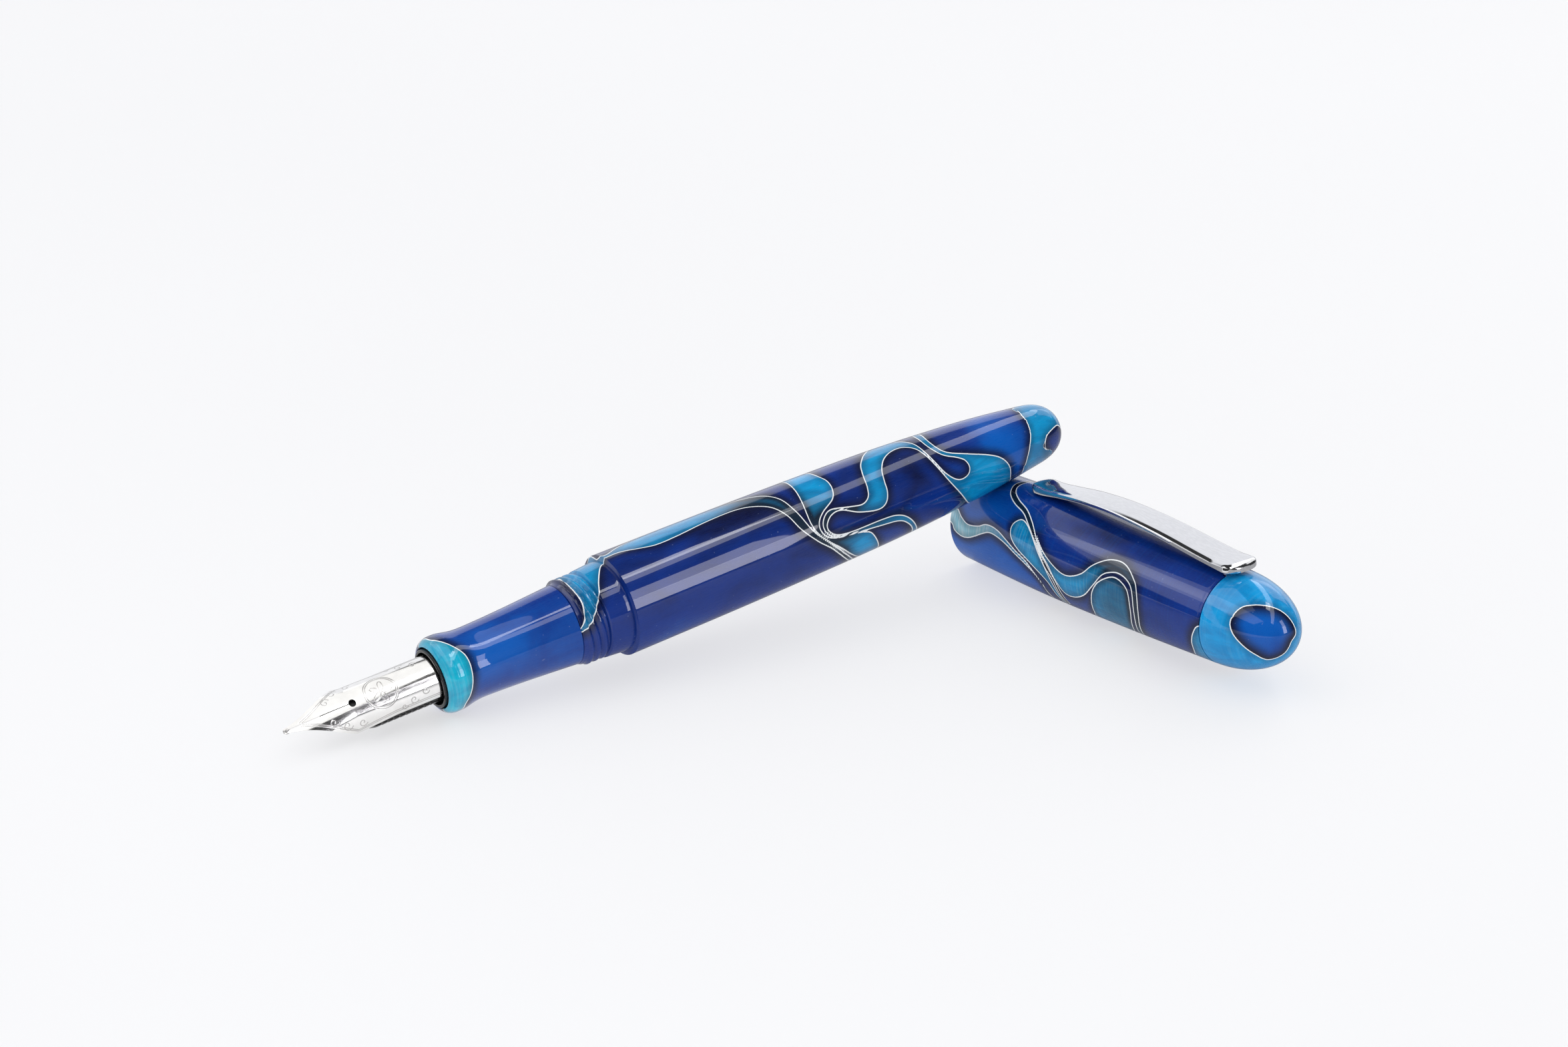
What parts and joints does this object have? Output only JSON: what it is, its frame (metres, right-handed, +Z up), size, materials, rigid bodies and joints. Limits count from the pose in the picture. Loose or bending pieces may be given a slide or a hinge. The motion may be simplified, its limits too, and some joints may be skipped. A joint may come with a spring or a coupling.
{
  "type": "fountain pen",
  "caption": "Screw-cap fountain pen, uncapped and lying across its cap, with a nib unit, a converter and a spring clip.",
  "frame": {"origin": "bottom centre of the bounding box of the pen and cap as they lie on a table", "axes": "+X along the table from the nib towards the barrel's end, +Z up, the cap pointing along -Y"},
  "size_m": [0.127, 0.0674, 0.0248],
  "materials": {
    "blue_acrylic": "polished pearl acrylic, deep blue with swirls",
    "cyan_acrylic": "polished pearl acrylic, cyan with a blue droplet",
    "nib_steel": "polished",
    "pellet_alloy": "ground",
    "clip_chrome": "polished",
    "black_plastic": "satin",
    "clear_plastic": "clear",
    "seal_rubber": "matte"
  },
  "bodies": {
    "cap": {"cap_body": "blue_acrylic", "clip_ring": "clip_chrome"},
    "finial": {"cap_finial": "cyan_acrylic"},
    "clip": {"clip": "clip_chrome"},
    "barrel": {"barrel": "blue_acrylic"},
    "section": {"section": "blue_acrylic"},
    "nib_housing": {"nib_housing": "black_plastic"},
    "nib": {"nib": "nib_steel", "nib_pellet_left": "pellet_alloy", "nib_pellet_right": "pellet_alloy", "feed": "black_plastic"},
    "converter": {"converter_tube": "clear_plastic", "converter_sleeve": "clip_chrome", "converter_bushing": "black_plastic"},
    "knob": {"converter_knob": "black_plastic", "converter_spindle": "black_plastic"},
    "piston": {"piston_rod": "black_plastic", "piston_head": "black_plastic", "piston_ring_front": "seal_rubber", "piston_ring_rear": "seal_rubber"}
  },
  "joints": [
    {"name": "pen_lift", "type": "slide", "parent": "cap", "child": "barrel", "axis": [0, 0, 1], "range_m": [0, 0.06]},
    {"name": "section_pull", "type": "slide", "parent": "barrel", "child": "section", "axis": [-0.9885, 0, -0.1513], "range_m": [0, 0.075]},
    {"name": "nib_unit_turn", "type": "hinge", "parent": "section", "child": "nib_housing", "pos_m": [-0.04094, 0.02644, 0.00512], "axis": [-0.9885, 0, -0.1513], "range_deg": [0, 1080]},
    {"name": "nib_pull", "type": "slide", "parent": "nib_housing", "child": "nib", "axis": [-0.9885, 0, -0.1513], "range_m": [0, 0.03]},
    {"name": "converter_pull", "type": "slide", "parent": "section", "child": "converter", "axis": [0.9885, 0, 0.1513], "range_m": [0, 0.0045]},
    {"name": "knob_turn", "type": "hinge", "parent": "converter", "child": "knob", "pos_m": [0.02825, 0.02644, 0.01571], "axis": [0.9885, 0, 0.1513], "range_deg": [0, 2101]},
    {"name": "piston_travel", "type": "slide", "parent": "converter", "child": "piston", "axis": [0.9885, 0, 0.1513], "range_m": [0, 0.0175]},
    {"name": "finial_pull", "type": "slide", "parent": "cap", "child": "finial", "axis": [0.0174, -0.9995, 0.0276], "range_m": [0, 0.012]},
    {"name": "clip_flex", "type": "hinge", "parent": "cap", "child": "clip", "pos_m": [0.05576, -0.02235, 0.01519], "axis": [0.9992, 0.0184, 0.0349], "range_deg": [0, 4], "stiffness_Nm_per_rad": 0.5}
  ],
  "couplings": [
    {"joint": "knob_turn", "follows": "piston_travel", "rad_per_m": 2094.4}
  ]
}
